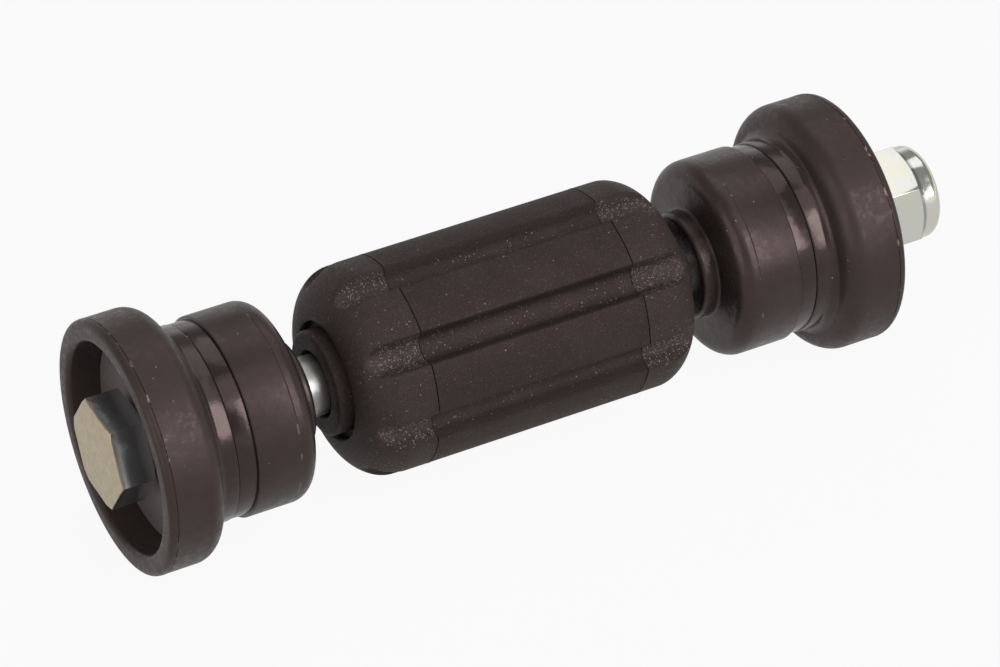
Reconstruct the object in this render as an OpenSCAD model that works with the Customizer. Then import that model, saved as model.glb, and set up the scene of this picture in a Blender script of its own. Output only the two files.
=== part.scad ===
// Stabilizer link: a long bolt that carries two pairs of rubber bushes and a fluted spacer barrel.
// The bolt axis lies along X, with the head at -X and the lock nut at +X.

/* [Bolt] */
// Diameter of the bolt's shank
bolt_d = 10; // [9:0.5:11]
// Width of the bolt's head across its flats
head_af = 16; // [15.5:0.5:22]
// Height of the bolt's head
head_h = 6.4; // [5:0.1:9]
// Diameter of the cone that takes off the head's corners, at the head's front
head_front_d = 17.2; // [15.2:0.1:18]
// Height of the round bearing face under the head
head_face_h = 0.5; // [0.2:0.1:0.8]
// Length of the threaded end
thread_len = 32; // [24:1:60]
// Distance from one thread crest to the next
thread_pitch = 1.5; // [1:0.25:2]
// Chamfer at the bolt's tip
tip_chamfer = 1; // [0.5:0.1:1.5]
// Turn of the head about the bolt axis, in degrees
head_turn = 33.6; // [0:0.1:60]

/* [Washers] */
// Thickness of each cup washer
washer_t = 2; // [1:0.1:3]
// Rounding of the washer's edges
washer_round = 0.4; // [0.1:0.1:0.5]

/* [Outer bushes] */
// Diameter of the cup flange
flange_d = 42; // [39:0.5:60]
// Length of the cup flange along the bolt
flange_len = 10.4; // [9:0.1:14]
// Rounding of the flange's rim edge, inside and outside
rim_round = 1; // [0.4:0.1:1.2]
// Rounding of the flange's shoulder edge
shoulder_round = 3.4; // [1:0.1:3.6]
// Diameter of the cup at its floor
cup_d = 34; // [26:0.5:35]
// How much wider the cup is at its mouth
cup_flare = 0.8; // [0.2:0.1:1]
// Depth of the cup from the rim to the washer's face
cup_depth = 5.4; // [4:0.1:6]
// Diameter of the neck behind the flange
outer_neck_d = 32.4; // [28:0.1:33]
// Length of the neck behind the flange
outer_neck_len = 3.7; // [2.5:0.1:8]
// Fillet between the neck and the flange
neck_fillet = 1.6; // [0.5:0.1:1.8]

/* [Inner bushes] */
// Diameter of the inner bush's body
inner_d = 33.2; // [28:0.1:38]
// Length of the inner bush's body
inner_len = 10.9; // [7:0.1:16]
// Rounding of the body's edge on the barrel side
inner_round = 2.8; // [1:0.1:3.5]
// Rounding of the body's edge on the neck side
inner_edge = 0.4; // [0.1:0.1:0.8]
// Diameter of the inner bush's neck, where it meets the outer bush
inner_neck_d = 32.1; // [25:0.1:33]
// Length of the inner bush's neck
inner_neck_len = 3.1; // [2:0.1:8]
// Diameter of the boss that faces the barrel
boss_d = 18; // [14:0.5:22]
// Length of the boss
boss_len = 3.1; // [1.5:0.1:6]
// Rounding of the boss's edge
boss_round = 0.8; // [0.3:0.1:1.2]

/* [Barrel] */
// Diameter of the barrel
barrel_d = 35.3; // [33:0.1:44]
// Length of the barrel without its collars
barrel_len = 60.3; // [40:0.1:120]
// Rounding of the barrel's domed ends
dome_round = 7.2; // [3:0.1:7.4]
// Diameter of the collar at each end
collar_d = 17.4; // [14:0.1:18.4]
// Length of each collar
collar_len = 2; // [1.5:0.1:6]
// Width of the groove around each collar
groove_w = 1.2; // [0.6:0.1:1.4]
// Depth of the groove around each collar
groove_depth = 1.4; // [0.5:0.1:3]
// Rounding of the collar's edge
collar_round = 0.7; // [0.3:0.1:1.2]
// How much wider the barrel's bore is than the bolt
bore_play = 1.2; // [0.4:0.1:1.6]
// Number of flutes around the barrel
flute_count = 8; // [4:1:12]
// Width of a flute
flute_w = 5; // [2:0.1:6]
// Depth of a flute below the barrel's surface
flute_depth = 2.8; // [1.5:0.1:4]
// Turn of the flutes about the bolt axis, in degrees
flute_turn = 4.5; // [0:0.5:45]

/* [Lock nut] */
// Width of the nut across its flats
nut_af = 16; // [15.5:0.5:22]
// Height of the nut's hexagon
nut_hex_h = 8.4; // [6:0.1:12]
// How far the nut's round crown stands in from its flats
crown_inset = 0.1; // [0.05:0.05:0.6]
// Height of the crown above the hexagon
crown_h = 3.6; // [3.4:0.1:6]
// Rounding of the crown's edge
crown_round = 1.6; // [0.4:0.1:1.8]
// Length of the locking ring in the crown
insert_len = 2.8; // [1.5:0.1:3]
// Wall of the locking ring
insert_wall = 1.5; // [1:0.1:1.6]
// Thickness of the crown's lip over the locking ring
lip_t = 0.6; // [0.3:0.1:0.6]
// How far the crown's lip covers the locking ring
lip_cover = 0.6; // [0.3:0.1:0.9]
// Turn of the nut about the bolt axis, in degrees
nut_turn = 49.6; // [0:0.1:60]

/* [Slack] */
// How far the bolt's head stands off its washer
head_backoff = 1.8; // [0:0.1:4]
// Free length between the head-side bushes and the barrel
head_slack = 3.9; // [0.5:0.1:8]
// Free length between the barrel and the nut-side bushes
nut_slack = 1.8; // [0.5:0.1:8]
// How far the nut stands off its washer
nut_backoff = 8.6; // [0.5:0.1:14]
// How far the nut's crown stands past the bolt's tip
nut_overrun = 4; // [0.5:0.1:4.5]

/* [Fits] */
// Radial clearance of a running fit on the bolt
running_fit = 0.05; // [0.02:0.01:0.09]
// Radial clearance of a washer in its cup
washer_fit = 0.1; // [0.05:0.05:0.3]

/* [Hidden] */
$fn = 96;

zinc = "#b9bcb8";
rubber = "#453b39";
plastic = "#403834";
black_steel = "#3b3836";
nylon = "#d9dde0";

// How far a cut runs past the face it opens
past = 1;

bolt_r = bolt_d / 2;
fit_r = bolt_r + running_fit;
cup_r = cup_d / 2;
cup_floor = cup_depth + washer_t;
mouth_r = cup_r + cup_flare / 2;
outer_len = flange_len + outer_neck_len;
cup_outline = [[0, -past], [mouth_r, -past], [mouth_r, 0], [cup_r, cup_depth], [cup_r, cup_floor],
               [0, cup_floor]];
inner_body_end = inner_neck_len + inner_len;
inner_total = inner_body_end + boss_len;
barrel_r = barrel_d / 2;
barrel_total = barrel_len + 2 * collar_len;
flute_r = flute_w / 2;
nut_h = nut_hex_h + crown_h;
crown_r = nut_af / 2 - crown_inset;
insert_r = fit_r + insert_wall;
insert_base = nut_h - lip_t - insert_len;

// Stations along the bolt, measured from the face under its head
head_rim_x = head_backoff - cup_depth;
head_seam_x = head_rim_x + outer_len;
barrel_x = head_seam_x + inner_total + head_slack;
nut_boss_x = barrel_x + barrel_total + nut_slack;
nut_seam_x = nut_boss_x + inner_total;
nut_rim_x = nut_seam_x + outer_len;
nut_washer_x = nut_rim_x - cup_depth;
nut_x = nut_washer_x + nut_backoff;
bolt_len = nut_x + nut_h - nut_overrun;
middle_x = (nut_x + nut_h - head_h) / 2;

// Form of the bolt's thread, as shares of its pitch
thread_depth = 0.61 * thread_pitch;
crest_w = thread_pitch / 8;
root_w = thread_pitch / 4;
flank_w = (thread_pitch - crest_w - root_w) / 2;
thread_count = floor((thread_len - tip_chamfer) / thread_pitch);
thread_x = bolt_len - thread_len;

// Slope of the cone that takes off a hexagon's corners, and the share of its width left round and flat
hex_slope = tan(30);
hex_flat_share = 0.95;

// Stands a piece on the bolt axis with its foot at station x, pointing to the nut
module to_nut(x) {
  translate([x - middle_x, 0, 0])
    rotate([0, 90, 0])
      children();
}

// Stands a piece on the bolt axis with its foot at station x, pointing to the head
module to_head(x) {
  translate([x - middle_x, 0, 0])
    rotate([0, -90, 0])
      children();
}

// Half section of a disc from y0 to y1, with a rounded edge at its foot and at its top
module rounded_half(y0, y1, r, foot, top) {
  polygon([[0, y0], [r - foot, y0], [r, y0 + foot], [r, y1 - top], [r - top, y1], [0, y1]]);
  translate([r - foot, y0 + foot])
    circle(r = foot);
  translate([r - top, y1 - top])
    circle(r = top);
}

// Half section of the hollow fillet where a neck of radius r leaves a face at height y
module fillet_half(y, r, fillet) {
  difference() {
    translate([r - fillet, y - fillet])
      square(2 * fillet);
    translate([r + fillet, y + fillet])
      circle(r = fillet);
  }
}

// Hexagonal prism with its corners taken off by a cone at the top, and at the foot too where asked
module chamfered_hex(width, flat_d, h, foot_too) {
  corner_r = width / sqrt(3);
  flat_r = flat_d / 2;
  reach_r = corner_r + past;
  drop = (reach_r - flat_r) * hex_slope;
  foot = foot_too ? [[flat_r, 0], [reach_r, drop]] : [[reach_r, 0]];
  top = [[reach_r, h - drop], [flat_r, h], [0, h]];
  intersection() {
    cylinder(r = corner_r, h = h, $fn = 6);
    rotate_extrude()
      polygon(concat([[0, 0]], foot, top));
  }
}

// Outline of one thread ridge that starts at height y: down a flank, along the root and up again
function ridge(y) = [
  [bolt_r, y],
  [bolt_r - thread_depth, y + flank_w],
  [bolt_r - thread_depth, y + flank_w + root_w],
  [bolt_r, y + 2 * flank_w + root_w]
];

module bolt() {
  ridges = [for (i = [0 : thread_count - 1]) each ridge(thread_x + i * thread_pitch)];
  tip = [[bolt_r, bolt_len - tip_chamfer], [bolt_r - tip_chamfer, bolt_len], [0, bolt_len]];
  color(zinc) {
    to_nut(0)
      rotate_extrude()
        polygon(concat([[0, -head_face_h], [bolt_r, -head_face_h]], ridges, tip));
    to_head(0)
      cylinder(r = hex_flat_share * head_af / 2, h = head_face_h);
    to_head(-head_face_h)
      rotate([0, 0, -head_turn])
        chamfered_hex(head_af, head_front_d, head_h - head_face_h, false);
  }
}

// Plate that fills the floor of a cup and spreads the clamping force
module cup_washer() {
  color(black_steel)
    rotate_extrude()
      difference() {
        rounded_half(0, washer_t, cup_r - washer_fit, washer_round, washer_round);
        translate([0, -past])
          square([fit_r, washer_t + 2 * past]);
      }
}

module head_washer() {
  to_nut(head_backoff)
    cup_washer();
}

module nut_washer() {
  to_head(nut_washer_x)
    cup_washer();
}

// Rubber cup with its rim at the foot and its neck at the top
module outer_bush() {
  color(rubber)
    rotate_extrude()
      difference() {
        union() {
          rounded_half(0, flange_len, flange_d / 2, rim_round, shoulder_round);
          square([outer_neck_d / 2, outer_len]);
          fillet_half(flange_len, outer_neck_d / 2, neck_fillet);
        }
        polygon(cup_outline);
        difference() {
          translate([mouth_r - past, -past])
            square([past + rim_round, past + rim_round]);
          translate([mouth_r + rim_round, rim_round])
            circle(r = rim_round);
        }
        square([fit_r, outer_len + past]);
      }
}

module head_outer_bush() {
  to_nut(head_rim_x)
    outer_bush();
}

module nut_outer_bush() {
  to_head(nut_rim_x)
    outer_bush();
}

// Plain rubber bush with its neck at the foot and its boss at the top
module inner_bush() {
  color(rubber)
    rotate_extrude()
      difference() {
        union() {
          square([inner_neck_d / 2, inner_body_end - inner_round]);
          rounded_half(inner_neck_len, inner_body_end, inner_d / 2, inner_edge, inner_round);
          rounded_half(inner_neck_len, inner_total, boss_d / 2, boss_round, boss_round);
        }
        translate([0, -past])
          square([fit_r, inner_total + 2 * past]);
      }
}

module head_inner_bush() {
  to_nut(head_seam_x)
    inner_bush();
}

module nut_inner_bush() {
  to_head(nut_seam_x)
    inner_bush();
}

// Cutter with a round floor for one flute, open to the outside; it runs out on the domed ends
module flute_cutter() {
  translate([barrel_r - flute_depth + flute_r, 0, collar_len])
    linear_extrude(barrel_len) {
      circle(r = flute_r);
      translate([0, -flute_r])
        square([flute_depth + past, flute_w]);
    }
}

module barrel() {
  color(plastic)
    to_nut(barrel_x)
      difference() {
        rotate_extrude()
          difference() {
            union() {
              rounded_half(collar_len, collar_len + barrel_len, barrel_r, dome_round, dome_round);
              rounded_half(0, barrel_total, collar_d / 2, collar_round, collar_round);
            }
            for (foot = [0, barrel_total - collar_len - groove_depth])
              translate([collar_d / 2, foot])
                square([groove_w, collar_len + groove_depth]);
            translate([0, -past])
              square([bolt_r + bore_play / 2, barrel_total + 2 * past]);
          }
        for (i = [0 : flute_count - 1])
          rotate([0, 0, flute_turn + i * 360 / flute_count])
            flute_cutter();
      }
}

module lock_nut() {
  color(zinc)
    to_nut(nut_x)
      difference() {
        union() {
          rotate([0, 0, nut_turn])
            chamfered_hex(nut_af, hex_flat_share * nut_af, nut_hex_h, true);
          rotate_extrude()
            rounded_half(nut_hex_h / 2, nut_h, crown_r, crown_round, crown_round);
        }
        rotate_extrude() {
          translate([0, -past])
            square([fit_r, nut_h]);
          translate([0, insert_base])
            square([insert_r + running_fit, insert_len]);
          translate([0, insert_base])
            square([insert_r - lip_cover, nut_h]);
        }
      }
}

module nut_insert() {
  color(nylon)
    to_nut(nut_x + insert_base)
      rotate_extrude()
        translate([fit_r, 0])
          square([insert_wall, insert_len]);
}

bolt();
head_washer();
head_outer_bush();
head_inner_bush();
barrel();
nut_inner_bush();
nut_outer_bush();
nut_washer();
lock_nut();
nut_insert();
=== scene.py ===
"""Models and finishes a bolt-through stabilizer link around its solids."""

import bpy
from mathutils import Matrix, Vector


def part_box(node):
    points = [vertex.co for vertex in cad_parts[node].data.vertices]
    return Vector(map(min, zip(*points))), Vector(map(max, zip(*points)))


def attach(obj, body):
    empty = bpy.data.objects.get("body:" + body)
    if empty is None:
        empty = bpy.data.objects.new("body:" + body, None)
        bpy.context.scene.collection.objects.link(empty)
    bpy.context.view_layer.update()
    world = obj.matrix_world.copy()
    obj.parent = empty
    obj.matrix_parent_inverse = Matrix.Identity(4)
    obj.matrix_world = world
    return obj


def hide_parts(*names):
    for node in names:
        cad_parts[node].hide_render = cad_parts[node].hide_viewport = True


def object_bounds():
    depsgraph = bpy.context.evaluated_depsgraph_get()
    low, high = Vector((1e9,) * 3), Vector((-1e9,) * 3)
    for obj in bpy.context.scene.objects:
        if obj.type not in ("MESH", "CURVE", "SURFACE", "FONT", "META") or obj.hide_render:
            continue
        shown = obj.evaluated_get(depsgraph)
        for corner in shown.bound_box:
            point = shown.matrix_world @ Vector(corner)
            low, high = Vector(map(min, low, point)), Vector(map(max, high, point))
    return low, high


bl_info = {
    "name": "Stabilizer Link",
    "version": (1, 0, 0),
    "blender": (4, 5, 0),
    "location": "View3D > Sidebar > Link",
    "description": "Models and finishes a bolt-through stabilizer link around its solids",
    "category": "Object",
}

import math

import bpy
import numpy as np
from bpy.props import FloatProperty, FloatVectorProperty, IntProperty, PointerProperty
from mathutils import Matrix, Vector

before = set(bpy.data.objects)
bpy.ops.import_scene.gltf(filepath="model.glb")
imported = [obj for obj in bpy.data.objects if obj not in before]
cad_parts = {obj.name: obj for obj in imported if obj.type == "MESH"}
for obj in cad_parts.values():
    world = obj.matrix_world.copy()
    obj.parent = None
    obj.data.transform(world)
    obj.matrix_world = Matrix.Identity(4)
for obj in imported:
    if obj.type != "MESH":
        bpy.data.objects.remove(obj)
cad_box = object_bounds()

MM = 0.001
SMOOTH_ANGLE = math.radians(32)
BARREL_SMOOTH_ANGLE = math.radians(50)
ROUNDED_ANGLE = math.radians(24)
CHAMFER_SLOPE = math.tan(math.radians(30))
CHAMFER_FLAT = 0.475
CORNER_REACH = 0.7
THREAD_DEPTH = 0.61
FAINT_FLASH = 0.4
WELD = 0.0005 * MM
RUBBER_STEPS = 192
METAL_STEPS = 144
FLUTE_STEPS = 48
THREAD_STEPS = 48
CORE_STEPS = 90
TIP_STEPS = 100
FLUTE_HALVINGS = 28
FLOOR_WIDTH = 12
FLOOR_GAP = 0.02 * MM
FLOOR_WHITE = 0.93
FLOOR_MIRRORED = 0.6
INNER_BUSHES = (
    # solid, way along the bolt, shine of the body
    ("head_inner_bush", 1, 0.36),
    ("nut_inner_bush", -1, 0.4),
)
LAMPS = (
    # name, power, azimuth and elevation in degrees, distance in metres, width and height in metres
    ("Key lamp", "key_power", 28, 31, 1.0, (0.40, 0.66)),
    ("High lamp", "high_power", 18, 61, 1.0, (0.9, 0.6)),
    ("Fill lamp", "fill_power", -70, 25, 1.0, (0.8, 0.8)),
    ("Back lamp", "back_power", 138, 60, 1.1, (0.95, 0.75)),
)


def length(name, description, millimetres):
    """A property that holds a size, given here in millimetres."""
    return FloatProperty(name=name, description=description, default=millimetres * MM, unit="LENGTH",
                         precision=5)


def angle(name, description, degrees):
    """A property that holds an angle, given here in degrees."""
    return FloatProperty(name=name, description=description, default=math.radians(degrees),
                         subtype="ANGLE")


def power(name, description, watts):
    """A property that holds a lamp's power."""
    return FloatProperty(name=name, description=description, default=watts, unit="POWER")


def colour(name, description, red, green, blue):
    """A property that holds a colour."""
    return FloatVectorProperty(name=name, description=description, default=(red, green, blue, 1),
                               size=4, min=0, max=1, subtype="COLOR")


class LinkSizes(bpy.types.PropertyGroup):
    """Sizes of the turned, moulded and forged details"""
    shank_radius: length("Shank radius", "Radius of the bolt's shank", 5)
    bore_radius: length("Bore radius", "Radius of the bores that run on the shank", 5.05)
    head_width: length("Head width", "Width of the bolt's head across its flats", 16)
    head_height: length("Head height", "Height of the bolt's head", 6.4)
    head_front: length("Head front", "Diameter at the front of the cone on the head's corners", 17.2)
    bearing_height: length("Bearing face", "Height of the round face under the head", 0.5)
    pitch: length("Thread pitch", "Distance between two crests of the thread", 1.5)
    thread_length: length("Thread length", "Length of the threaded end", 32)
    tip_chamfer: length("Tip chamfer", "Chamfer at the bolt's tip", 1)
    edge_round: length("Edge rounding", "Rounding of the metal edges", 0.18)
    flange_length: length("Flange length", "Length of the cup flange along the bolt", 10.4)
    rim_round: length("Rim rounding", "Rounding of the flange's rim", 1)
    shoulder_round: length("Shoulder rounding", "Rounding of the flange's shoulder", 3.4)
    outer_neck: length("Outer neck", "Radius of the neck behind the flange", 16.2)
    neck_fillet: length("Neck fillet", "Fillet between the flange and its neck", 1.6)
    mouth_radius: length("Cup mouth", "Radius of the cup at its mouth", 17.4)
    floor_radius: length("Cup floor", "Radius of the cup at its floor", 17)
    cup_depth: length("Cup depth", "Depth of the cup from its rim to the floor under the washer", 7.4)
    inner_neck: length("Inner neck", "Radius of the inner bush's neck", 16.05)
    inner_neck_length: length("Inner neck length", "Length of the inner bush's neck", 3.1)
    inner_length: length("Inner body length", "Length of the inner bush's body", 10.9)
    inner_round: length("Inner rounding", "Rounding of the inner bush on the barrel side", 2.8)
    inner_edge: length("Inner edge", "Rounding of the inner bush on the neck side", 0.25)
    boss_radius: length("Boss radius", "Radius of the boss that faces the barrel", 9)
    boss_round: length("Boss rounding", "Rounding of the boss's edge", 0.8)
    seam_edge: length("Seam edge", "Rounding where the two bushes of a pair meet", 0.22)
    mould_line: length("Mould line", "Width of the fine lines that the moulds leave", 0.34)
    dome_round: length("Dome rounding", "Rounding of the barrel's domed ends", 7.2)
    collar_radius: length("Collar radius", "Radius of the collar at each end of the barrel", 8.7)
    collar_length: length("Collar length", "Length of each collar", 2)
    collar_round: length("Collar rounding", "Rounding of the collar's edge", 0.7)
    groove_width: length("Groove width", "Width of the groove round each collar", 1.2)
    groove_depth: length("Groove depth", "Depth of the groove round each collar", 1.4)
    barrel_bore: length("Barrel bore", "Radius of the barrel's bore", 5.6)
    flute_width: length("Flute width", "Width of a flute", 5)
    flute_depth: length("Flute depth", "Depth of a flute", 2.8)
    flute_soft: length("Flute edges", "Softness of the flutes' edges", 0.5)
    witness_place: length("Witness lines", "Distance of the barrel's mould lines from its middle", 19)
    nut_width: length("Nut width", "Width of the nut across its flats", 16)
    nut_hex_height: length("Nut height", "Height of the nut's hexagon", 8.4)
    crown_radius: length("Crown radius", "Radius of the nut's round crown", 7.9)
    crown_round: length("Crown rounding", "Rounding of the crown's edge", 1.6)
    lip_radius: length("Lip radius", "Inner radius of the lip over the locking ring", 5.95)
    lip_height: length("Lip height", "Height of the lip over the locking ring", 0.6)
    pocket_radius: length("Pocket radius", "Radius of the locking ring's pocket", 6.6)
    pocket_length: length("Pocket length", "Length of the locking ring's pocket", 2.8)
    flutes: IntProperty(name="Flutes", description="Number of flutes round the barrel", default=8, min=1)
    head_turn: angle("Head turn", "Turn of the head's corners from the Y axis", 3.6)
    nut_turn: angle("Nut turn", "Turn of the nut's corners from the Y axis", 19.6)
    flute_turn: angle("Flute turn", "Turn of the flutes from the Z axis", 4.5)


class LinkColours(bpy.types.PropertyGroup):
    """Colours of the finishes"""
    rubber: colour("Rubber", "Moulded rubber", 0.038, 0.0275, 0.0255)
    clean_rubber: colour("Clean rubber", "Polished rubber of the necks", 0.016, 0.0112, 0.0104)
    bloom: colour("Bloom", "Pale film on the rubber", 0.085, 0.066, 0.063)
    plastic: colour("Plastic", "Moulded barrel", 0.038, 0.0278, 0.0250)
    # Painted shade: a near-black colour laid on the flute walls
    painted_wall_shade: colour("Painted wall shade", "Painted shade on the walls of the flutes", 0.009, 0.0063, 0.0056)
    worn_plastic: colour("Worn plastic", "Rubbed grain of the barrel", 0.17, 0.134, 0.122)
    # Painted highlights: pale dots that stand in for the grain's sparkle
    painted_highlight_fleck: colour("Painted highlight fleck", "Painted highlights on the coarse grain", 0.2, 0.165, 0.155)
    # Painted shade: a near-black colour for the mould-line grooves
    witness: colour("Witness line", "Painted shade in the barrel's mould lines", 0.004, 0.003, 0.003)
    fleck: colour("Fleck", "Dust and torn flash", 0.34, 0.28, 0.22)
    zinc: colour("Zinc", "Plain zinc of the bolt", 0.66, 0.655, 0.63)
    zinc_front: colour("Zinc front", "Yellowed zinc on the front of the bolt's head", 0.57, 0.485, 0.34)
    # Painted shade: a darker, bluer zinc for the head's flats
    painted_flat_shade_zinc: colour("Painted flat shade zinc", "Zinc with painted shade on the flats of the bolt's head", 0.52, 0.54, 0.555)
    zinc_edge: colour("Zinc edge", "Brown tarnish on the flats behind the head's front", 0.15, 0.1, 0.07)
    zinc_stain: colour("Zinc stain", "Darker patches of the bolt's zinc", 0.33, 0.335, 0.34)
    bright_zinc: colour("Bright zinc", "Fresh zinc of the nut", 0.66, 0.665, 0.63)
    zinc_tint: colour("Zinc tint", "Yellow shimmer on the nut's zinc", 0.68, 0.66, 0.54)
    black_steel: colour("Black steel", "Coated cup washers", 0.1, 0.082, 0.08)
    steel_grain: colour("Steel grain", "Paler crystals of the washers' coat", 0.15, 0.125, 0.12)
    # Painted shade for the crease between the nut's hexagon and its crown
    painted_shoulder_shade: colour("Painted shoulder shade", "Painted shade where the nut's hexagon meets its crown", 0.36, 0.37, 0.385)
    nylon: colour("Nylon", "Locking ring", 0.62, 0.66, 0.70)
    pale_nylon: colour("Pale nylon", "Cloudy patches of the locking ring", 0.72, 0.75, 0.78)
    floor: colour("Floor", "Pale floor", 0.44, 0.44, 0.44)
    pale_floor: colour("Pale floor", "Paler specks of the floor", 0.5, 0.5, 0.5)


class LinkPortrait(bpy.types.PropertyGroup):
    """Camera and lamps"""
    lens: FloatProperty(name="Lens", description="Focal length on a 36 mm sensor", default=182.88,
                        unit="CAMERA")
    azimuth: angle("Azimuth", "Side that the camera looks from", -28.2)
    elevation: angle("Elevation", "Camera's angle above the horizon", 37.22)
    distance: length("Distance", "Camera's distance from its aim", 817)
    aim: length("Aim", "Place along the bolt that the camera aims at", -5.8)
    aside: length("Aside", "How far the camera stands to the right of its aim", 1.6)
    below: length("Below", "How far the camera stands below its aim", 0.94)
    key_power: power("Key lamp", "Power of the front lamp", 5.0)
    high_power: power("High lamp", "Power of the lamp high in front", 2.1)
    fill_power: power("Fill lamp", "Power of the lamp at the head's side", 3.9)
    back_power: power("Back lamp", "Power of the lamp behind and above", 2.3)
    sky: FloatProperty(name="Sky", description="Strength of the even light from all round", default=0.17)
    zenith: FloatProperty(name="Zenith", description="Strength of the sky overhead, in reflections",
                          default=0.3)


def arc(centre, radius, start, end, points):
    """Points on a round stretch of an outline, between two angles in degrees, both ends included."""
    angles = np.radians(np.linspace(start, end, points))
    return [(centre[0] + radius * math.cos(a), centre[1] + radius * math.sin(a)) for a in angles]


def line(station, radius, width, depth):
    """A fine groove with a slightly raised lip on both sides, across a straight part of an outline."""
    lip = 0.3 * depth
    across = [(-1, 0), (-0.62, lip), (-0.3, lip), (0, -depth), (0.3, lip), (0.62, lip), (1, 0)]
    return [(station + share * width, radius + rise) for share, rise in across]


def placed(outline, foot, way):
    """An outline measured from its foot, set on the bolt axis and pointing to nut (1) or head (-1)."""
    return [(foot + way * along, radius) for along, radius in outline]


def deselect():
    """Leaves object mode with nothing selected."""
    if bpy.context.object and bpy.context.object.mode != "OBJECT":
        bpy.ops.object.mode_set(mode="OBJECT")
    bpy.ops.object.select_all(action="DESELECT")


def activate(piece):
    """Makes a piece the only selected one and the active one."""
    deselect()
    piece.select_set(True)
    bpy.context.view_layer.objects.active = piece


def closed(piece):
    """Welds a piece's seams and poles and points its faces outwards."""
    activate(piece)
    bpy.ops.object.mode_set(mode="EDIT")
    bpy.ops.mesh.select_all(action="SELECT")
    bpy.ops.mesh.remove_doubles(threshold=WELD)
    bpy.ops.mesh.dissolve_degenerate(threshold=WELD)
    bpy.ops.mesh.normals_make_consistent(inside=False)
    bpy.ops.object.mode_set(mode="OBJECT")
    return piece


def smooth(piece, sharpest=SMOOTH_ANGLE):
    """Shades a piece smooth, with its sharp edges kept."""
    activate(piece)
    bpy.ops.object.shade_smooth_by_angle(angle=sharpest)
    return piece


def ring_of(name, points):
    """A closed loop of edges through points, made from a circle."""
    deselect()
    bpy.ops.mesh.primitive_circle_add(vertices=len(points), radius=MM)
    piece = bpy.context.object
    piece.name = piece.data.name = name
    for vertex, point in zip(piece.data.vertices, points):
        vertex.co = point
    return piece


def turned(name, outline, steps, start=0.0):
    """A piece turned on the bolt axis: a closed outline of (station, radius) points, spun round."""
    swing = Matrix.Rotation(start, 3, "X")
    piece = ring_of(name, [swing @ Vector((station, 0, radius)) for station, radius in outline])
    bpy.ops.object.mode_set(mode="EDIT")
    bpy.ops.mesh.select_all(action="SELECT")
    bpy.ops.mesh.spin(steps=steps, angle=2 * math.pi, center=(0, 0, 0), axis=(1, 0, 0))
    return closed(piece)


def combine(piece, other, operation):
    """Cuts, joins or intersects a piece with another one, which is used up."""
    activate(piece)
    modifier = piece.modifiers.new(operation.title(), "BOOLEAN")
    modifier.operation = operation
    modifier.solver = "EXACT"
    modifier.object = other
    bpy.ops.object.modifier_apply(modifier=modifier.name)
    bpy.data.objects.remove(other)
    return piece


def bevelled(piece, width, segments=3, angle_limit=ROUNDED_ANGLE):
    """Rounds a piece's edges that are sharper than an angle."""
    activate(piece)
    modifier = piece.modifiers.new("Rounding", "BEVEL")
    modifier.width = width
    modifier.segments = segments
    modifier.limit_method = "ANGLE"
    modifier.angle_limit = angle_limit
    bpy.ops.object.modifier_apply(modifier=modifier.name)
    return piece


def hexagon(name, first, last, width, turn):
    """A hexagonal prism on the bolt axis between two stations, its corners turned from the Y axis."""
    deselect()
    middle = ((first + last) / 2, 0, 0)
    bpy.ops.mesh.primitive_cylinder_add(vertices=6, radius=width / math.sqrt(3), depth=last - first,
                                        location=middle, rotation=(0, math.pi / 2, 0))
    piece = bpy.context.object
    piece.name = piece.data.name = name
    piece.matrix_world = Matrix.Rotation(turn, 4, "X") @ piece.matrix_world
    bpy.ops.object.transform_apply(location=True, rotation=True, scale=True)
    return piece


def chamfer(width, flat):
    """How far a turned shape reaches past a hexagon's corners, and its drop along the axis there."""
    reach = CORNER_REACH * width
    return reach, (reach - flat) * CHAMFER_SLOPE


def direction(azimuth, elevation):
    """The way to a lamp or a camera, its azimuth counted from the front."""
    level = math.cos(elevation)
    return Vector((math.sin(azimuth) * level, -math.cos(azimuth) * level, math.sin(elevation)))


def corners(piece):
    """The places of a piece's vertices."""
    place = np.empty(len(piece.data.vertices) * 3)
    piece.data.vertices.foreach_get("co", place)
    return place.reshape(-1, 3)


def cylindrical(piece):
    """The stations of a piece's vertices along the bolt axis, and their distances from it."""
    place = corners(piece)
    return place[:, 0], np.hypot(place[:, 1], place[:, 2])


def flash_line(along, radii, station, radius):
    """Which vertices lie on the mould line at a station of a round skin."""
    return (np.abs(along - station) < 0.12 * MM) & (radii > radius - 0.2 * MM)


def soft_max(first, second, softness):
    """The larger of two fields, rounded where they cross."""
    share = np.clip(softness - np.abs(first - second), 0, None)
    return np.maximum(first, second) + share * share / (4 * softness)


def mark(piece, name, values):
    """Keeps a value for each vertex of a piece, for its finish to read."""
    attribute = piece.data.attributes.new(name, "FLOAT", "POINT")
    attribute.data.foreach_set("value", np.asarray(values, dtype=float))


def coat(piece, material):
    """Gives a piece one material by its name."""
    piece.data.materials.clear()
    piece.data.materials.append(bpy.data.materials[material])


def finished(piece, body, slot, material, *nodes):
    """Gives a piece its finish, lets it move with its body and puts it in place of its solids."""
    coat(piece, material)
    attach(piece, body)
    if nodes:
        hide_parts(*nodes)


def add(tree, kind, inputs=None, **options):
    """A shader node with its options set and its inputs set or linked."""
    made = tree.nodes.new("ShaderNode" + kind)
    for option, value in options.items():
        setattr(made, option, value)
    for key, value in (inputs or {}).items():
        if isinstance(value, bpy.types.NodeSocket):
            tree.links.new(value, made.inputs[key])
        else:
            made.inputs[key].default_value = value
    return made


def maths(tree, operation, first, second=0.0):
    """The result of a Math node."""
    return add(tree, "Math", {0: first, 1: second}, operation=operation).outputs[0]


def scaled(tree, value, share):
    """A value times another one or a constant."""
    return maths(tree, "MULTIPLY", value, share)


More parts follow.
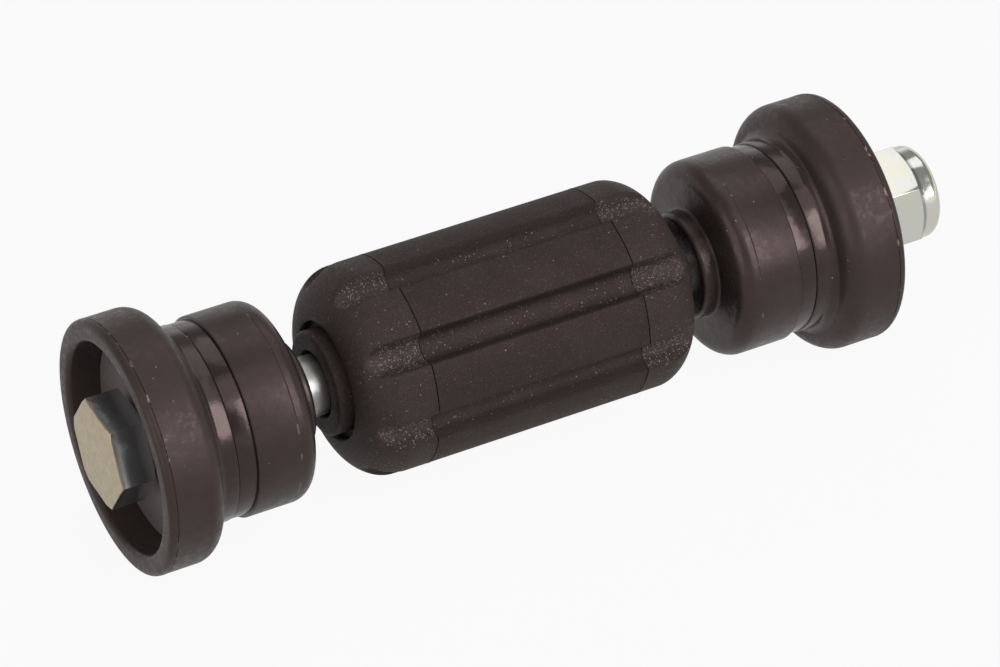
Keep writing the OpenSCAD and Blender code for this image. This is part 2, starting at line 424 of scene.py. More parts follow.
def marked(tree, name):
    """The value that a mesh keeps for each of its vertices under a name."""
    return add(tree, "Attribute", attribute_name=name).outputs["Fac"]


def between(tree, value, low, high, to_low=0.0, to_high=1.0):
    """A value's place between two limits, smoothed and clamped."""
    inputs = {"Value": value, "From Min": low, "From Max": high, "To Min": to_low, "To Max": to_high}
    return add(tree, "MapRange", inputs, interpolation_type="SMOOTHSTEP").outputs[0]


def blended(tree, share, first, second):
    """A mix of two colours."""
    return add(tree, "Mix", {0: share, 6: first, 7: second}, data_type="RGBA").outputs[2]


def noise(tree, place, scale, detail=3.0, rough=0.55):
    """A noise texture's value."""
    inputs = {"Vector": place, "Scale": scale, "Detail": detail, "Roughness": rough}
    return add(tree, "TexNoise", inputs).outputs["Fac"]


def group(name, inputs, outputs):
    """A new shader node group that takes a place and values: its tree, input node and output node."""
    tree = bpy.data.node_groups.new(name, "ShaderNodeTree")
    tree.interface.new_socket("Vector", in_out="INPUT", socket_type="NodeSocketVector")
    for socket in inputs:
        tree.interface.new_socket(socket, in_out="INPUT", socket_type="NodeSocketFloat")
    for socket in outputs:
        tree.interface.new_socket(socket, in_out="OUTPUT", socket_type="NodeSocketFloat")
    return tree, tree.nodes.new("NodeGroupInput"), tree.nodes.new("NodeGroupOutput")


def used(tree, name, inputs):
    """A node group placed in a material."""
    return add(tree, "Group", inputs, node_tree=bpy.data.node_groups[name]).outputs


def flecks(tree, place, cells, radius, share):
    """The mask of the dust fleck group: how many cells there are, and the dots' size and number."""
    inputs = {"Vector": place, "Cells": cells, "Radius": radius, "Share": share}
    return used(tree, "Dust flecks", inputs)["Mask"]


def make_fleck_group():
    """Scattered specks of dust: a few cells of a cell pattern hold one small dot each."""
    tree, given, result = group("Dust flecks", ["Cells", "Radius", "Share"], ["Mask"])
    place, scale = given.outputs["Vector"], given.outputs["Cells"]
    cells = add(tree, "TexVoronoi", {"Vector": place, "Scale": scale})
    chosen = add(tree, "SeparateColor", {0: cells.outputs["Color"]})
    lucky = maths(tree, "LESS_THAN", chosen.outputs[0], given.outputs["Share"])
    size = scaled(tree, given.outputs["Radius"], chosen.outputs[1])
    dot = maths(tree, "LESS_THAN", cells.outputs["Distance"], size)
    tree.links.new(scaled(tree, dot, lucky), result.inputs["Mask"])


def make_grain_group():
    """Spark-eroded mould grain: small rounded bumps with a fine noise over them."""
    tree, given, result = group("Moulded grain", ["Scale"], ["Height", "Crests"])
    place, scale = given.outputs["Vector"], given.outputs["Scale"]
    coarse = add(tree, "TexVoronoi", {"Vector": place, "Scale": scale}, feature="SMOOTH_F1")
    fine = noise(tree, place, scaled(tree, scale, 2.3), 2.0)
    dots = maths(tree, "SUBTRACT", 1.0, coarse.outputs["Distance"])
    height = maths(tree, "ADD", scaled(tree, dots, 0.9), fine)
    tree.links.new(height, result.inputs["Height"])
    tree.links.new(between(tree, height, 1.14, 1.42), result.inputs["Crests"])


def make_axis_group():
    """Place on a turned piece: how far a point lies from the bolt axis, and its station along it."""
    tree, given, result = group("Turned place", [], ["Radius", "Station"])
    parts = add(tree, "SeparateXYZ", {0: given.outputs["Vector"]})
    across = maths(tree, "POWER", parts.outputs["Y"], 2.0)
    upward = maths(tree, "POWER", parts.outputs["Z"], 2.0)
    tree.links.new(maths(tree, "SQRT", maths(tree, "ADD", across, upward)), result.inputs["Radius"])
    tree.links.new(parts.outputs["X"], result.inputs["Station"])


def new_material(name):
    """A new material's tree, its shader and its object coordinates."""
    material = bpy.data.materials.new(name)
    material.use_nodes = True
    tree = material.node_tree
    return tree, tree.nodes["Principled BSDF"], add(tree, "TexCoord").outputs["Object"]


def bump(tree, shader, height, distance):
    """Links a height to a shader's normal."""
    made = add(tree, "Bump", {"Height": height, "Distance": distance, "Strength": 1.0})
    tree.links.new(made.outputs["Normal"], shader.inputs["Normal"])


def feed(tree, shader, **sockets):
    """Links values to a shader's inputs by name."""
    for name, value in sockets.items():
        tree.links.new(value, shader.inputs[name.replace("_", " ")])


def rubber_material(colours):
    """Moulded rubber: dull on flanges and bodies, polished on necks, with pale film, dust and flash."""
    tree, shader, place = new_material("Bush rubber")
    polish = marked(tree, "polish")
    film = between(tree, noise(tree, place, 95.0, 5.0, 0.62), 0.46, 0.72)
    smear = between(tree, noise(tree, place, 820.0, 4.0, 0.7), 0.47, 0.64)
    haze = maths(tree, "ADD", scaled(tree, film, 0.16), scaled(tree, smear, 0.06))
    skin = blended(tree, polish, colours.rubber, colours.clean_rubber)
    skin = blended(tree, haze, skin, colours.bloom)
    dust = flecks(tree, place, cells=560.0, radius=0.075, share=0.5)
    torn = between(tree, noise(tree, place, 420.0, 3.0), 0.57, 0.66, 0.0, 0.9)
    pale = maths(tree, "MAXIMUM", dust, scaled(tree, marked(tree, "flash"), torn))
    feed(tree, shader, Base_Color=blended(tree, pale, skin, colours.fleck))
    dull = between(tree, polish, 0.0, 1.0, 0.44, 0.18)
    uneven = between(tree, polish, 0.0, 1.0, -0.14, -0.03)
    feed(tree, shader, Roughness=maths(tree, "ADD", dull, scaled(tree, smear, uneven)))
    feed(tree, shader, Specular_IOR_Level=between(tree, polish, 0.0, 1.0, 0.28, 0.5))
    shader.inputs["Specular Tint"].default_value = (1, 0.75, 0.72, 1)
    wave = scaled(tree, noise(tree, place, 260.0, 2.0), 2.0)
    fine = scaled(tree, noise(tree, place, 3600.0, 2.0), 0.22)
    bump(tree, shader, maths(tree, "ADD", wave, fine), 0.045 * MM)


def plastic_material(sizes, colours):
    """Moulded plastic: a fine grain, coarser in flutes and at the ends, with painted highlights (pale
    dots) most where both meet and painted shade on the flute walls.
    """
    tree, shader, place = new_material("Barrel plastic")
    turned_place = used(tree, "Turned place", {"Vector": place})
    low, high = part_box("barrel")
    middle = (low.x + high.x) / 2
    off_middle = maths(tree, "ABSOLUTE", maths(tree, "SUBTRACT", turned_place["Station"], middle))
    ends = between(tree, off_middle, sizes.witness_place - 0.1 * MM, sizes.witness_place + 0.1 * MM)
    flute = marked(tree, "flute")
    both = scaled(tree, scaled(tree, ends, flute), 0.35)
    coarse = maths(tree, "ADD", scaled(tree, ends, 0.3), scaled(tree, flute, 0.35))
    coarse = maths(tree, "ADD", coarse, both)
    grain = used(tree, "Moulded grain", {"Vector": place, "Scale": 2600.0})
    rubbed = scaled(tree, grain["Crests"], between(tree, coarse, 0.0, 1.0, 0.32, 0.5))
    patch = between(tree, noise(tree, place, 140.0, 4.0), 0.42, 0.7)
    skin = blended(tree, scaled(tree, patch, 0.05), colours.plastic, colours.worn_plastic)
    skin = blended(tree, rubbed, skin, colours.worn_plastic)
    # Painted shade: the flute walls are darkened towards near black to stand in for the shade in the
    # flutes
    skin = blended(tree, scaled(tree, marked(tree, "wall"), 0.65), skin, colours.painted_wall_shade)
    # Painted highlights: pale dots over the coarse grain, most where the flutes meet the ends
    many = between(tree, coarse, 0.2, 1.0, 0.005, 0.8)
    painted_highlight_mask = flecks(tree, place, cells=3400.0, radius=0.5, share=many)
    skin = blended(tree, painted_highlight_mask, skin, colours.painted_highlight_fleck)
    dust = flecks(tree, place, cells=520.0, radius=0.075, share=0.5)
    skin = blended(tree, dust, skin, colours.fleck)
    # Painted shade: the mould-line grooves are darkened towards near black, in faint broken stretches
    faint = between(tree, noise(tree, place, 500.0, 2.0), 0.3, 0.55, 0.45, 0.95)
    shade = scaled(tree, marked(tree, "witness"), faint)
    feed(tree, shader, Base_Color=blended(tree, shade, skin, colours.witness))
    feed(tree, shader, Roughness=between(tree, grain["Crests"], 0.0, 1.0, 0.55, 0.24))
    feed(tree, shader, Specular_IOR_Level=between(tree, coarse, 0.0, 1.0, 0.1, 0.45))
    shader.inputs["Specular Tint"].default_value = (1, 0.78, 0.75, 1)
    depth = between(tree, coarse, 0.0, 1.0, 0.4, 1.0)
    bump(tree, shader, scaled(tree, grain["Height"], depth), 0.16 * MM)


def zinc_material(name, plain, stain, dull, relief):
    """Zinc plating with cloudy patches and fine pits: its tree, shader, skin, roughness and place."""
    tree, shader, place = new_material(name)
    cloud = between(tree, noise(tree, place, 210.0, 5.0, 0.65), 0.4, 0.75)
    pits = between(tree, noise(tree, place, 2300.0, 3.0, 0.7), 0.56, 0.72)
    skin = blended(tree, scaled(tree, cloud, 0.4), plain, stain)
    skin = blended(tree, scaled(tree, pits, 0.3), skin, stain)
    rough = between(tree, cloud, 0.0, 1.0, dull - 0.04, dull + 0.06)
    feed(tree, shader, Base_Color=skin, Roughness=rough)
    shader.inputs["Metallic"].default_value = 1.0
    ripple = scaled(tree, noise(tree, place, 500.0, 2.0), 0.7)
    bump(tree, shader, maths(tree, "ADD", ripple, pits), relief)
    return tree, shader, skin, rough, place


def bolt_material(sizes, colours):
    """Dull zinc, yellowed and rougher on the head's front, smoother on its flats and darker there with
    painted shade.
    """
    made = zinc_material("Dull zinc", colours.zinc, colours.zinc_stain, dull=0.34, relief=0.003 * MM)
    tree, shader, skin, rough, place = made
    shader.inputs["Metallic"].default_value = 0.88
    station = used(tree, "Turned place", {"Vector": place})["Station"]
    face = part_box("bolt")[0].x
    front = between(tree, station, face + 0.05 * MM, face + 0.4 * MM, 1.0, 0.0)
    bearing = face + sizes.head_height
    side = between(tree, station, bearing, bearing + 0.1 * MM, 0.85, 0.0)
    # Painted shade: the head's flats are darkened with a bluer zinc
    skin = blended(tree, side, skin, colours.painted_flat_shade_zinc)
    edge = between(tree, station, face + 0.4 * MM, face + 1.3 * MM, 0.8, 0.0)
    skin = blended(tree, edge, skin, colours.zinc_edge)
    blot = between(tree, noise(tree, place, 900.0, 4.0, 0.6), 0.35, 0.7, 0.75, 1.0)
    skin = blended(tree, scaled(tree, front, blot), skin, colours.zinc_front)
    feed(tree, shader, Base_Color=skin)
    rough = maths(tree, "ADD", rough, scaled(tree, side, -0.12))
    feed(tree, shader, Roughness=maths(tree, "ADD", rough, scaled(tree, front, 0.23)))


def nut_material(sizes, colours):
    """Bright zinc with a yellow shimmer, with painted shade in the crease between the hexagon and the
    crown.
    """
    made = zinc_material("Bright zinc", colours.bright_zinc, colours.zinc, dull=0.15, relief=0.003 * MM)
    tree, shader, skin, _, place = made
    shimmer = between(tree, noise(tree, place, 240.0, 2.0), 0.4, 0.65, 0.0, 0.7)
    skin = blended(tree, shimmer, skin, colours.zinc_tint)
    turned_place = used(tree, "Turned place", {"Vector": place})
    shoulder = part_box("lock_nut")[0].x + sizes.nut_hex_height
    back = maths(tree, "SUBTRACT", turned_place["Radius"], CHAMFER_FLAT * sizes.nut_width)
    past = maths(tree, "SUBTRACT", turned_place["Station"], shoulder)
    past = maths(tree, "ADD", past, scaled(tree, back, CHAMFER_SLOPE))
    # Painted shade: a dark band along the crease where the hexagon's chamfer meets the crown
    painted_shoulder_shade = between(tree, past, 0.3 * MM, 0.6 * MM, 1.0, 0.0)
    painted_shoulder_shade = scaled(tree, painted_shoulder_shade, between(tree, past, -0.2 * MM, 0.0))
    feed(tree, shader, Base_Color=blended(tree, painted_shoulder_shade, skin, colours.painted_shoulder_shade))


def steel_material(colours):
    """Phosphate-coated steel: nearly black, with a fine crystal grain and turned rings."""
    tree, shader, place = new_material("Black steel")
    radius = used(tree, "Turned place", {"Vector": place})["Radius"]
    rings = maths(tree, "SINE", scaled(tree, radius, 9000.0))
    crystal = noise(tree, place, 2400.0, 4.0, 0.7)
    pale = between(tree, crystal, 0.4, 0.7)
    feed(tree, shader, Base_Color=blended(tree, pale, colours.black_steel, colours.steel_grain))
    feed(tree, shader, Roughness=between(tree, crystal, 0.3, 0.7, 0.42, 0.6))
    shader.inputs["Metallic"].default_value = 0.25
    bump(tree, shader, maths(tree, "ADD", crystal, scaled(tree, rings, 0.2)), 0.02 * MM)


def nylon_material(colours):
    """Cloudy nylon of the locking ring."""
    tree, shader, place = new_material("Insert nylon")
    cloud = between(tree, noise(tree, place, 600.0, 3.0), 0.35, 0.7)
    feed(tree, shader, Base_Color=blended(tree, cloud, colours.nylon, colours.pale_nylon))
    feed(tree, shader, Roughness=between(tree, cloud, 0.0, 1.0, 0.3, 0.42))
    shader.inputs["Subsurface Weight"].default_value = 0.15
    shader.inputs["Subsurface Radius"].default_value = (MM, MM, MM)


class LINK_OT_stage(bpy.types.Operator):
    """Sets the floor, the lamps, the sky and the camera"""
    bl_idname = "link.stage"
    bl_label = "Stage"

    def execute(self, context):
        scene = context.scene
        portrait = scene.link_portrait
        scene.view_settings.view_transform = "Standard"
        self.floor(scene.link_colours)
        self.sky(scene, portrait)
        for name, watts, azimuth, elevation, distance, size in LAMPS:
            away = direction(math.radians(azimuth), math.radians(elevation))
            self.lamp(name, getattr(portrait, watts), away, distance, size)
        self.camera(scene, portrait)
        return {"FINISHED"}

    def floor(self, colours):
        """A wide pale floor that the camera sees as white, with the link's shadow on it."""
        deselect()
        bpy.ops.mesh.primitive_plane_add(size=FLOOR_WIDTH, location=(0, 0, cad_box[0].z - FLOOR_GAP))
        floor = bpy.context.object
        floor.name = "floor"
        bpy.ops.object.mode_set(mode="EDIT")
        bpy.ops.mesh.subdivide(number_cuts=3)
        bpy.ops.object.mode_set(mode="OBJECT")
        tree, shader, place = new_material("Pale floor")
        speck = between(tree, noise(tree, place, 40.0, 3.0), 0.3, 0.7, 0.0, 0.2)
        feed(tree, shader, Base_Color=blended(tree, speck, colours.floor, colours.pale_floor))
        shader.inputs["Roughness"].default_value = 0.9
        shader.inputs["Specular IOR Level"].default_value = 0.1
        glow = add(tree, "Emission", {"Color": (1, 1, 1, 1), "Strength": 1.0})
        rays = add(tree, "LightPath").outputs
        direct = scaled(tree, rays["Is Camera Ray"], FLOOR_WHITE)
        seen = maths(tree, "MAXIMUM", direct, scaled(tree, rays["Is Glossy Ray"], FLOOR_MIRRORED))
        mixed = add(tree, "MixShader", {0: seen, 1: shader.outputs[0], 2: glow.outputs[0]})
        tree.links.new(mixed.outputs[0], tree.nodes["Material Output"].inputs["Surface"])
        coat(floor, "Pale floor")

    def sky(self, scene, portrait):
        """Even light from all round, seen as white at the horizon and darker overhead."""
        world = bpy.data.worlds.new("Studio")
        world.use_nodes = True
        tree = world.node_tree
        rays = add(tree, "LightPath").outputs
        seen = maths(tree, "MAXIMUM", rays["Is Camera Ray"], rays["Is Glossy Ray"])
        seen = maths(tree, "MAXIMUM", seen, rays["Is Transmission Ray"])
        way = add(tree, "SeparateXYZ", {0: add(tree, "TexCoord").outputs["Generated"]}).outputs["Z"]
        shown = between(tree, way, 0.08, 0.42, 1.0, portrait.zenith)
        strength = add(tree, "Mix", {0: seen, 2: portrait.sky, 3: shown}).outputs[0]
        tree.links.new(strength, tree.nodes["Background"].inputs["Strength"])
        tree.nodes["Background"].inputs["Color"].default_value = (1, 1, 1, 1)
        scene.world = world

    def lamp(self, name, watts, away, distance, size):
        """A large soft lamp that faces the link."""
        deselect()
        bpy.ops.object.light_add(type="AREA", location=away * distance)
        lamp = bpy.context.object
        lamp.name = name
        lamp.data.shape = "RECTANGLE"
        lamp.data.size, lamp.data.size_y = size
        lamp.data.energy = watts
        lamp.rotation_euler = (-away).to_track_quat("-Z", "Y").to_euler()
        lamp.visible_camera = False

    def camera(self, scene, portrait):
        """The camera at the portrait's angle."""
        back = direction(portrait.azimuth, portrait.elevation)
        right = Vector((math.cos(portrait.azimuth), math.sin(portrait.azimuth), 0))
        upward = back.cross(right)
        place = Vector((portrait.aim, 0, 0)) + back * portrait.distance
        place += right * portrait.aside - upward * portrait.below
        deselect()
        bpy.ops.object.camera_add(location=place, rotation=(-back).to_track_quat("-Z", "Y").to_euler())
        camera = bpy.context.object
        camera.name = "Portrait"
        camera.data.sensor_fit = "HORIZONTAL"
        camera.data.sensor_width = 36
        camera.data.lens = portrait.lens
        camera.data.clip_start = 0.01
        scene.camera = camera


class LINK_OT_outer_bushes(bpy.types.Operator):
    """Turns the two cupped rubber bushes"""
    bl_idname = "link.outer_bushes"
    bl_label = "Outer bushes"

    def execute(self, context):
        sizes = context.scene.link_sizes
        for node, way in (("head_outer_bush", 1), ("nut_outer_bush", -1)):
            low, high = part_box(node)
            rim = low.x if way > 0 else high.x
            outline = self.outline(sizes, high.x - low.x, high.z)
            bush = smooth(turned(node + "_rubber", placed(outline, rim, way), RUBBER_STEPS))
            along, radii = cylindrical(bush)
            flash = rim + way * (sizes.rim_round + sizes.mould_line)
            mark(bush, "flash", flash_line(along, radii, flash, high.z))
            foot = sizes.outer_neck + 0.9 * sizes.neck_fillet
            neck = sizes.outer_neck + 0.05 * MM
            behind = way * (along - rim) > sizes.flange_length - MM
            mark(bush, "polish", behind * (0.5 * (radii < foot) + 0.5 * (radii < neck)))
            finished(bush, node, "bush_rubber", "Bush rubber", node)
        return {"FINISHED"}

    def outline(self, sizes, total, flange):
        """Half section from the bore over the neck, the shoulder and the rim into the cup."""
        bore, neck, edge = sizes.bore_radius, sizes.outer_neck, sizes.seam_edge
        fillet, shoulder, rim = sizes.neck_fillet, sizes.shoulder_round, sizes.rim_round
        hollow = (sizes.flange_length + fillet, neck + fillet)
        round_centre = (sizes.flange_length - shoulder, flange - shoulder)
        meeting = math.degrees(math.atan2(hollow[1] - round_centre[1], hollow[0] - round_centre[0]))
        groove = line(rim + sizes.mould_line, flange, -sizes.mould_line, 0.09 * MM)
        return [(total, bore),
                *arc((total - edge, neck - edge), edge, 0, 90, 4),
                *arc(hollow, fillet, 270, 180 + meeting, 9),
                *arc(round_centre, shoulder, meeting, 90, 15)[1:],
                *groove,
                *arc((rim, flange - rim), rim, 90, 180, 8)[1:],
                *arc((rim, sizes.mouth_radius + rim), rim, 180, 262, 8),
                (sizes.cup_depth - 2 * MM, sizes.floor_radius),
                (sizes.cup_depth, sizes.floor_radius),
                (sizes.cup_depth, bore)]


class LINK_OT_inner_bushes(bpy.types.Operator):
    """Turns the two plain rubber bushes"""
    bl_idname = "link.inner_bushes"
    bl_label = "Inner bushes"

    def execute(self, context):
        sizes = context.scene.link_sizes
        for node, way, gloss in INNER_BUSHES:
            low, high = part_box(node)
            seam = low.x if way > 0 else high.x
            outline = self.outline(sizes, high.x - low.x, high.z)
            bush = smooth(turned(node + "_rubber", placed(outline, seam, way), RUBBER_STEPS))
            along, radii = cylindrical(bush)
            polish = np.where(radii < high.z - 0.8 * sizes.inner_round, 0.5, gloss)
            neck = sizes.inner_neck_length + 0.05 * MM
            mark(bush, "polish", np.where(way * (along - seam) < neck, 1.0, polish))
            end = sizes.inner_neck_length + sizes.inner_length
            flash = seam + way * (end - sizes.inner_round - 2 * sizes.mould_line)
            mark(bush, "flash", FAINT_FLASH * flash_line(along, radii, flash, high.z))
            finished(bush, node, "bush_rubber", "Bush rubber", node)
        return {"FINISHED"}

    def outline(self, sizes, total, body):
        """Half section from the bore over the neck, the body and the boss, just free of its pair."""
        bore, neck, edge = sizes.bore_radius, sizes.inner_neck, sizes.seam_edge
        step, corner, dome = sizes.inner_neck_length, sizes.inner_edge, sizes.inner_round
        end = step + sizes.inner_length
        boss, tip = sizes.boss_radius, sizes.boss_round
        foot = 0.6 * MM
        free = 0.01 * MM
        return [(free, bore),
                *arc((edge + free, neck - edge), edge, 180, 90, 4),
                (step, neck),
                *arc((step + corner, body - corner), corner, 180, 90, 5),
                *line(end - dome - 2 * sizes.mould_line, body, sizes.mould_line, 0.03 * MM),
                *arc((end - dome, body - dome), dome, 90, 0, 13),
                *arc((end + foot, boss + foot), foot, 180, 270, 5),
                *arc((total - tip, boss - tip), tip, 90, 0, 7),
                (total, bore)]


class LINK_OT_barrel(bpy.types.Operator):
    """Turns the barrel and presses its flutes and mould lines into it"""
    bl_idname = "link.barrel"
    bl_label = "Barrel"

    def execute(self, context):
        sizes = context.scene.link_sizes
        low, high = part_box("barrel")
        outline = self.outline(sizes, low.x, high.x)
        barrel = turned("barrel_moulding", outline, FLUTE_STEPS * sizes.flutes, sizes.flute_turn)
        self.press_flutes(barrel, sizes, (low.x + high.x) / 2)
        smooth(barrel, BARREL_SMOOTH_ANGLE)
        finished(barrel, "barrel", "barrel_plastic", "Barrel plastic", "barrel")
        return {"FINISHED"}

    def outline(self, sizes, first, last):
        """Half section: bore, collar, groove, dome and skin, and the same again the other way."""
        middle = (first + last) / 2
        half = (last - first) / 2
        radius = cylindrical(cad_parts["barrel"])[1].max()
        dome, collar, tip = sizes.dome_round, sizes.collar_radius, sizes.collar_round
        end = half - sizes.collar_length
        groove = end - sizes.groove_depth
        wall = collar + sizes.groove_width
        bevel, lead = 0.15 * MM, 0.3 * MM
        witness = line(sizes.witness_place, radius, sizes.mould_line, 0.13 * MM)
        skin = [(station, radius) for station in np.linspace(0.6 * MM, witness[0][0], 30)[:-1]]
        skin += witness
        skin += [(station, radius) for station in np.linspace(witness[-1][0], end - dome, 6)[1:-1]]
        to_right = [*skin,
                    *arc((end - dome, radius - dome), dome, 90, 0, 26),
                    (end, wall + bevel), (end - bevel, wall), (groove, wall), (groove, collar),
                    *arc((half - tip, collar - tip), tip, 90, 0, 6),
                    *arc((half - lead, sizes.barrel_bore + lead), lead, 0, -90, 4)]
        to_left = [(-station, radius) for station, radius in reversed(to_right)]
        return [(middle + station, radius) for station, radius in to_left + to_right]

    def press_flutes(self, barrel, sizes, middle):
        """Moves the skin in to the floor of each flute, and marks flutes, walls and mould lines."""
        place = corners(barrel)
        radius = np.hypot(place[:, 1], place[:, 2])
        turn = np.arctan2(-place[:, 1], place[:, 2]) - sizes.flute_turn
        spacing = 2 * math.pi / sizes.flutes
        turn = (turn + spacing / 2) % spacing - spacing / 2
        full = cylindrical(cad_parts["barrel"])[1].max()
        half_width = sizes.flute_width / 2
        centre = full - sizes.flute_depth + half_width
        low, high = np.full(len(radius), full - 1.5 * sizes.flute_depth), radius.copy()
        for _ in range(FLUTE_HALVINGS):
            guess = (low + high) / 2
            along, aside = guess * np.cos(turn), np.abs(guess * np.sin(turn))
            floor = np.where(along > centre, aside, np.hypot(along - centre, aside)) - half_width
            outside = soft_max(guess - radius, -floor, sizes.flute_soft) > 0
            high = np.where(outside, guess, high)
            low = np.where(outside, low, guess)
        in_skin = radius > full - sizes.flute_depth - MM
        gap = np.abs(np.abs(place[:, 0] - middle) - sizes.witness_place)
        relief = np.where(gap < 1.1 * sizes.mould_line, radius - full, 0)
        new_radius = np.where(in_skin, np.minimum(radius, high + relief), radius)
        place[:, 1:] *= (new_radius / radius)[:, None]
        barrel.data.vertices.foreach_set("co", place.ravel())
        pressed = radius - new_radius
        mark(barrel, "flute", np.clip(pressed / (1.2 * MM), 0, 1))
        share = np.abs(new_radius * np.sin(turn)) / half_width
        # The wall mask carries the painted shade on the flute walls
        mark(barrel, "wall", np.clip((share - 0.5) / 0.35, 0, 1) * np.clip(pressed / (0.3 * MM), 0, 1))
        mark(barrel, "witness", in_skin & (gap < 0.05 * MM))
        barrel.data.update()


class LINK_OT_bolt(bpy.types.Operator):
    """Forges the hexagon head, turns the shank and rolls the thread"""
    bl_idname = "link.bolt"
    bl_label = "Bolt"

    def execute(self, context):
        sizes = context.scene.link_sizes
        low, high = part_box("bolt")
        bearing = low.x + sizes.head_height
        shoulder = bearing - sizes.bearing_height
        head = hexagon("bolt_forging", low.x, shoulder, sizes.head_width, sizes.head_turn)
        shaper = turned("head_shaper", self.head_shape(sizes, low.x, bearing), METAL_STEPS)
        combine(head, shaper, "INTERSECT")
        start = high.x - sizes.thread_length
        radius = sizes.shank_radius
        flat = CHAMFER_FLAT * sizes.head_width
        middle = low.x + sizes.head_height / 2
        shank = [(middle, 0), (middle, flat), (bearing, flat), (bearing, radius), (start, radius),
                 (start + sizes.pitch / 2, self.root(sizes)), (start + sizes.pitch, 0)]
        combine(head, turned("shank", shank, METAL_STEPS), "UNION")
        bevelled(closed(head), sizes.edge_round)
        smooth(head)
        finished(head, "bolt", "zinc_steel", "Dull zinc", "bolt")
        finished(self.thread(sizes, start, high.x), "bolt", "zinc_steel", "Dull zinc")
        return {"FINISHED"}

    def root(self, sizes):
        """Radius at the root of the thread."""
        return sizes.shank_radius - THREAD_DEPTH * sizes.pitch

    def head_shape(self, sizes, front, bearing):
        """Turned shape that takes the corners off the head's front."""
        flat = sizes.head_front / 2
        reach, drop = chamfer(sizes.head_width, flat)
        return [(front, 0), (front, flat), (front + drop, reach), (bearing, reach), (bearing, 0)]

    def thread(self, sizes, start, tip):
        """A core with one ridge wound round it, trimmed by the chamfer at the tip.

        The core and the trimming shape overlap by a little, since faces that coincide break the cut.
        """
        pitch, crest = sizes.pitch, sizes.shank_radius
        root = self.root(sizes)
        buried = root - 0.12 * MM
        turns = int(sizes.thread_length / pitch) + 1
        base, top = 0.4 * pitch, 0.0625 * pitch
        section = [(-base, buried), (-top, crest), (top, crest), (base, buried)]
        first = start - 0.5 * pitch
        ridge = ring_of("thread_ridge", [(first + along, 0, radius) for along, radius in section])
        activate(ridge)
        winding = ridge.modifiers.new("Winding", "SCREW")
        winding.axis = "X"
        winding.angle = 2 * math.pi
        winding.screw_offset = pitch
        winding.iterations = turns
        winding.steps = winding.render_steps = THREAD_STEPS
        bpy.ops.object.modifier_apply(modifier=winding.name)
        bpy.ops.object.mode_set(mode="EDIT")
        bpy.ops.mesh.select_all(action="DESELECT")
        bpy.ops.mesh.select_mode(type="EDGE")
        bpy.ops.mesh.select_non_manifold()
        bpy.ops.mesh.edge_face_add()
        bpy.ops.object.mode_set(mode="OBJECT")
        closed(ridge)
        over = 0.3 * MM
        core = [(start - over, 0), (start - over, root), (tip + over, root), (tip + over, 0)]
        core = turned("bolt_thread", core, CORE_STEPS)
        combine(core, ridge, "UNION")
        slope = sizes.tip_chamfer
        envelope = [(start, 0), (start, crest + over), (tip - slope - over, crest + over),
                    (tip, crest - slope), (tip, 0)]
        combine(core, turned("tip_shaper", envelope, TIP_STEPS), "INTERSECT")
        return smooth(closed(core))


class LINK_OT_lock_nut(bpy.types.Operator):
    """Forges the hexagon nut with its round crown over the locking ring"""
    bl_idname = "link.lock_nut"
    bl_label = "Lock nut"

    def execute(self, context):
        sizes = context.scene.link_sizes
        low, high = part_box("lock_nut")
        shoulder = low.x + sizes.nut_hex_height
        nut = hexagon("lock_nut_forging", low.x, shoulder, sizes.nut_width, sizes.nut_turn)
        shaper = turned("nut_shaper", self.corner_shape(sizes, low.x, shoulder), METAL_STEPS)
        combine(nut, shaper, "INTERSECT")
        crown, rounding = sizes.crown_radius, sizes.crown_round
        middle = (low.x + shoulder) / 2
        solid = [(middle, 0), (middle, crown),
                 *arc((high.x - rounding, crown - rounding), rounding, 90, 0, 9),
                 (high.x, 0)]
        combine(nut, turned("crown", solid, METAL_STEPS), "UNION")
        bore = turned("nut_bore", self.bore_shape(sizes, low.x, high.x), METAL_STEPS)
        combine(nut, bore, "DIFFERENCE")
        bevelled(closed(nut), sizes.edge_round)
        finished(smooth(nut), "lock_nut", "bright_zinc", "Bright zinc", "lock_nut")
        return {"FINISHED"}

    def corner_shape(self, sizes, base, shoulder):
        """Turned shape that takes the corners off both ends of the hexagon."""
        flat = CHAMFER_FLAT * sizes.nut_width
        reach, drop = chamfer(sizes.nut_width, flat)
        return [(base, 0), (base, flat), (base + drop, reach),
                (shoulder - drop, reach), (shoulder, flat), (shoulder, 0)]

    def bore_shape(self, sizes, base, crown):
        """Turned shape of the bore, the locking ring's pocket and the opening in the lip."""
        past = MM
        top = crown - sizes.lip_height
        pocket = top - sizes.pocket_length
        return [(base - past, 0), (base - past, sizes.bore_radius), (pocket, sizes.bore_radius),
                (pocket, sizes.pocket_radius), (top, sizes.pocket_radius), (top, sizes.lip_radius),
                (crown + past, sizes.lip_radius), (crown + past, 0)]


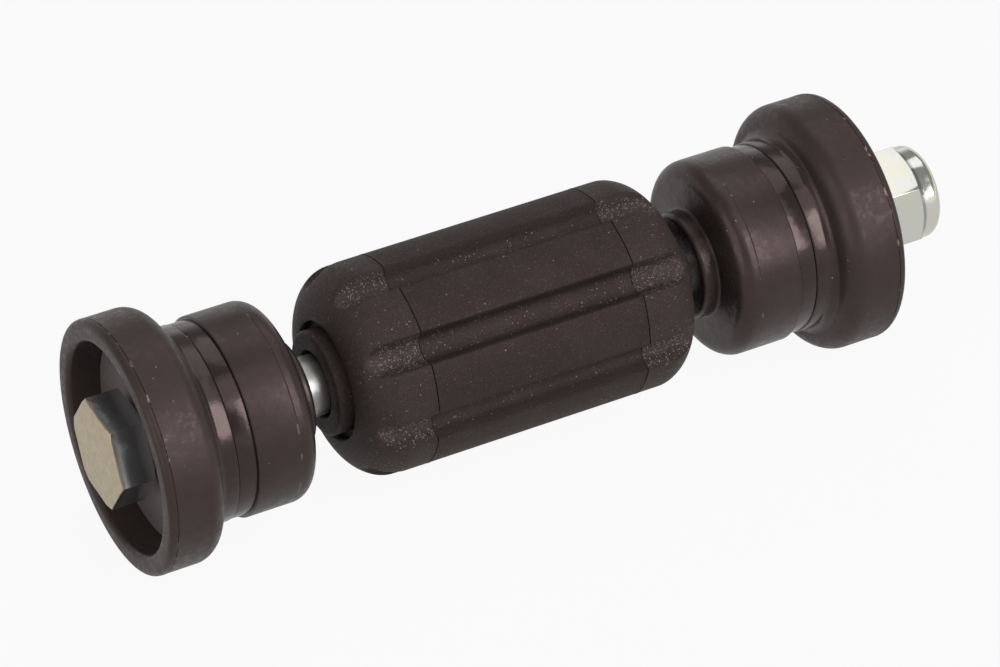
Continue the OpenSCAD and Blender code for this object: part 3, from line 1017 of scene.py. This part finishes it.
class LINK_OT_finishes(bpy.types.Operator):
    """Makes the finishes and coats the solids that show as they are"""
    bl_idname = "link.finishes"
    bl_label = "Finishes"

    def execute(self, context):
        sizes, colours = context.scene.link_sizes, context.scene.link_colours
        make_axis_group()
        make_fleck_group()
        make_grain_group()
        rubber_material(colours)
        plastic_material(sizes, colours)
        bolt_material(sizes, colours)
        nut_material(sizes, colours)
        steel_material(colours)
        nylon_material(colours)
        coat(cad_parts["head_washer"], "Black steel")
        coat(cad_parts["nut_washer"], "Black steel")
        coat(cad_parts["nut_insert"], "Insert nylon")
        return {"FINISHED"}


class LINK_PT_panel(bpy.types.Panel):
    """Lists the steps that make the link"""
    bl_label = "Stabilizer Link"
    bl_idname = "LINK_PT_panel"
    bl_space_type = "VIEW_3D"
    bl_region_type = "UI"
    bl_category = "Link"

    def draw(self, context):
        for step in STEPS:
            self.layout.operator(step.bl_idname)
        scene = context.scene
        for values in (scene.link_sizes, scene.link_colours, scene.link_portrait):
            box = self.layout.box()
            for name in values.__annotations__:
                box.prop(values, name)


STEPS = (LINK_OT_stage, LINK_OT_finishes, LINK_OT_outer_bushes, LINK_OT_inner_bushes, LINK_OT_barrel,
         LINK_OT_bolt, LINK_OT_lock_nut)
CLASSES = (LinkSizes, LinkColours, LinkPortrait, *STEPS, LINK_PT_panel)


def register():
    for item in CLASSES:
        bpy.utils.register_class(item)
    bpy.types.Scene.link_sizes = PointerProperty(type=LinkSizes)
    bpy.types.Scene.link_colours = PointerProperty(type=LinkColours)
    bpy.types.Scene.link_portrait = PointerProperty(type=LinkPortrait)


def unregister():
    del bpy.types.Scene.link_portrait
    del bpy.types.Scene.link_colours
    del bpy.types.Scene.link_sizes
    for item in reversed(CLASSES):
        bpy.utils.unregister_class(item)


def main():
    register()
    bpy.ops.link.stage()
    bpy.ops.link.finishes()
    bpy.ops.link.outer_bushes()
    bpy.ops.link.inner_bushes()
    bpy.ops.link.barrel()
    bpy.ops.link.bolt()
    bpy.ops.link.lock_nut()


if __name__ == "__main__":
    main()
